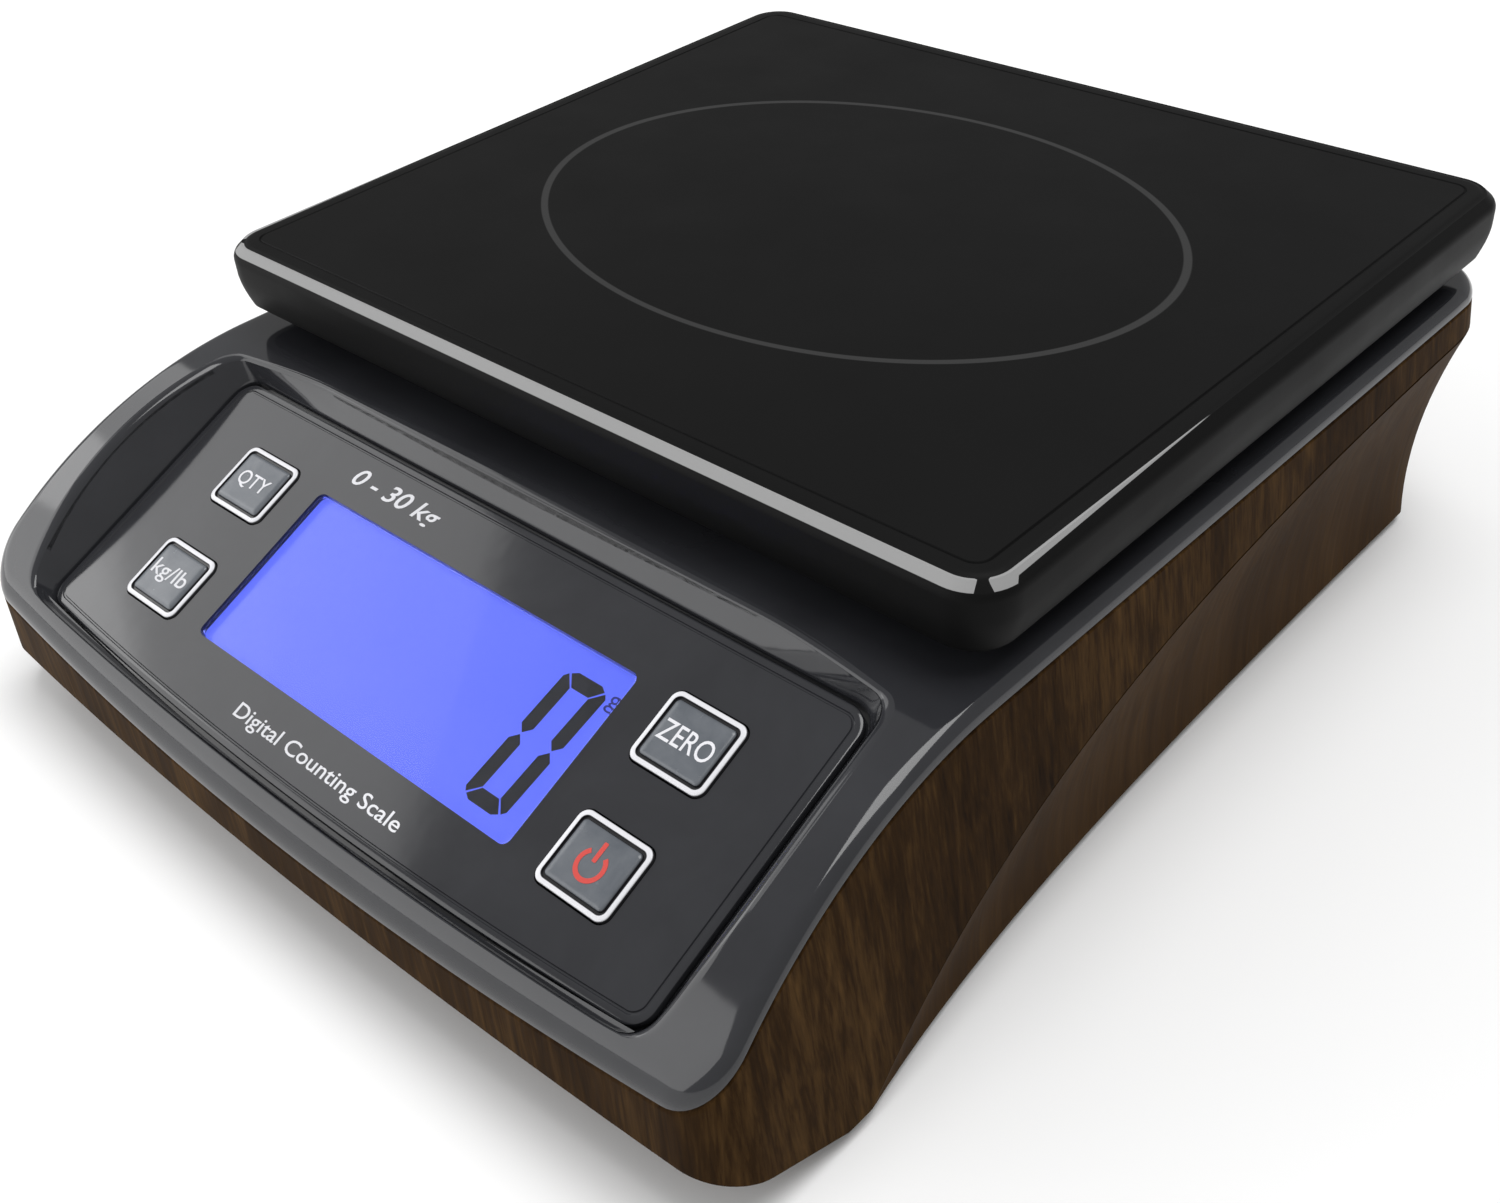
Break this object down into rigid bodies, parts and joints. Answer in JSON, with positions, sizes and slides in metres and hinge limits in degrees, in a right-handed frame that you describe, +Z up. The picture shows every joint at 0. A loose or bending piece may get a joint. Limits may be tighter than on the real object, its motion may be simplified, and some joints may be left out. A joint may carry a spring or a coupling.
{
  "type": "counting scale",
  "caption": "Low bench counting scale: square weighing pan over a load cell, with a tilted display and key panel at the front and a battery compartment underneath.",
  "frame": {"origin": "on the resting surface under the centre of the casing", "axes": "+X to the right seen from the display, +Y towards the back, +Z up"},
  "size_m": [0.1972, 0.228, 0.0709],
  "materials": {
    "gloss_black": "high gloss moulded plastic, dark grey to black",
    "matt_black": "flat black moulded plastic with a printed ring",
    "walnut": "moulded plastic with a walnut wood-grain film",
    "under_brown": "satin brown moulded plastic",
    "key_grey": "grey keys with a pale printed outline",
    "clear_window": "clear window over the lit display",
    "lcd": "liquid crystal cell, lit blue",
    "light_guide": "translucent light guide",
    "white_plastic": "white moulded plastic",
    "board_green": "green circuit board",
    "black_component": "black moulded component",
    "aluminium": "milled and anodised",
    "steel": "plated steel",
    "zinc_plate": "zinc-plated pressed and turned steel",
    "nickel": "nickel-plated spring strip",
    "rubber": "soft black rubber",
    "battery_sleeve": "plain sleeve over a dry cell",
    "grey_lead": "grey insulated lead"
  },
  "bodies": {
    "base": {"top_cover": "gloss_black", "display_panel": "gloss_black", "side_body": "walnut", "lower_housing": "under_brown", "display_window": "clear_window", "lcd_glass": "lcd", "backlight": "light_guide", "lcd_holder": "white_plastic", "display_board": "board_green", "dc_jack": "black_component", "switch_count": "black_component", "switch_unit": "black_component", "switch_zero": "black_component", "switch_power": "black_component", "load_cell": "aluminium", "cell_base_plate": "steel", "board_screw_left": "steel", "board_screw_right": "steel", "fixed_screw_front": "steel", "fixed_screw_rear": "steel", "case_screw_front_left": "steel", "case_screw_front_right": "steel", "case_screw_rear_left": "steel", "case_screw_rear_right": "steel", "contact_front_left": "nickel", "contact_front_right": "nickel", "contact_rear_plus": "nickel", "contact_rear_middle": "nickel", "contact_rear_minus": "nickel", "foot_front_left": "rubber", "foot_front_right": "rubber", "foot_rear_left": "rubber", "foot_rear_right": "rubber", "battery_1": "battery_sleeve", "battery_2": "battery_sleeve", "battery_3": "battery_sleeve", "battery_4": "battery_sleeve", "load_cell_lead": "grey_lead"},
    "platform": {"weighing_pan": "matt_black", "platform_bracket": "zinc_plate", "cell_spacer": "steel", "live_screw_front": "steel", "live_screw_rear": "steel", "standoff_front_left": "zinc_plate", "standoff_front_right": "zinc_plate", "standoff_rear_left": "zinc_plate", "standoff_rear_right": "zinc_plate", "pan_pad_front_left": "rubber", "pan_pad_front_right": "rubber", "pan_pad_rear_left": "rubber", "pan_pad_rear_right": "rubber"},
    "key_count": {"key_count": "key_grey", "plunger_count": "white_plastic"},
    "key_unit": {"key_unit": "key_grey", "plunger_unit": "white_plastic"},
    "key_zero": {"key_zero": "key_grey", "plunger_zero": "white_plastic"},
    "key_power": {"key_power": "key_grey", "plunger_power": "white_plastic"},
    "battery_door": {"battery_door": "under_brown"}
  },
  "joints": [
    {"name": "platform_press", "type": "slide", "parent": "base", "child": "platform", "axis": [0, 0, 1], "range_m": [-0.0006, 0], "stiffness_N_per_m": 20000, "springref_m": 0.0003, "deforming": ["load_cell"]},
    {"name": "count_press", "type": "slide", "parent": "base", "child": "key_count", "axis": [0, -0.4067, 0.9135], "range_m": [-0.0005, 0], "stiffness_N_per_m": 500, "springref_m": 0.0003},
    {"name": "unit_press", "type": "slide", "parent": "base", "child": "key_unit", "axis": [0, -0.4067, 0.9135], "range_m": [-0.0005, 0], "stiffness_N_per_m": 500, "springref_m": 0.0003},
    {"name": "zero_press", "type": "slide", "parent": "base", "child": "key_zero", "axis": [0, -0.4067, 0.9135], "range_m": [-0.0005, 0], "stiffness_N_per_m": 500, "springref_m": 0.0003},
    {"name": "power_press", "type": "slide", "parent": "base", "child": "key_power", "axis": [0, -0.4067, 0.9135], "range_m": [-0.0005, 0], "stiffness_N_per_m": 500, "springref_m": 0.0003},
    {"name": "battery_door_hinge", "type": "hinge", "parent": "base", "child": "battery_door", "pos_m": [-0.0483, 0.0624, 0.003], "axis": [1, 0, 0], "range_deg": [0, 100]}
  ]
}
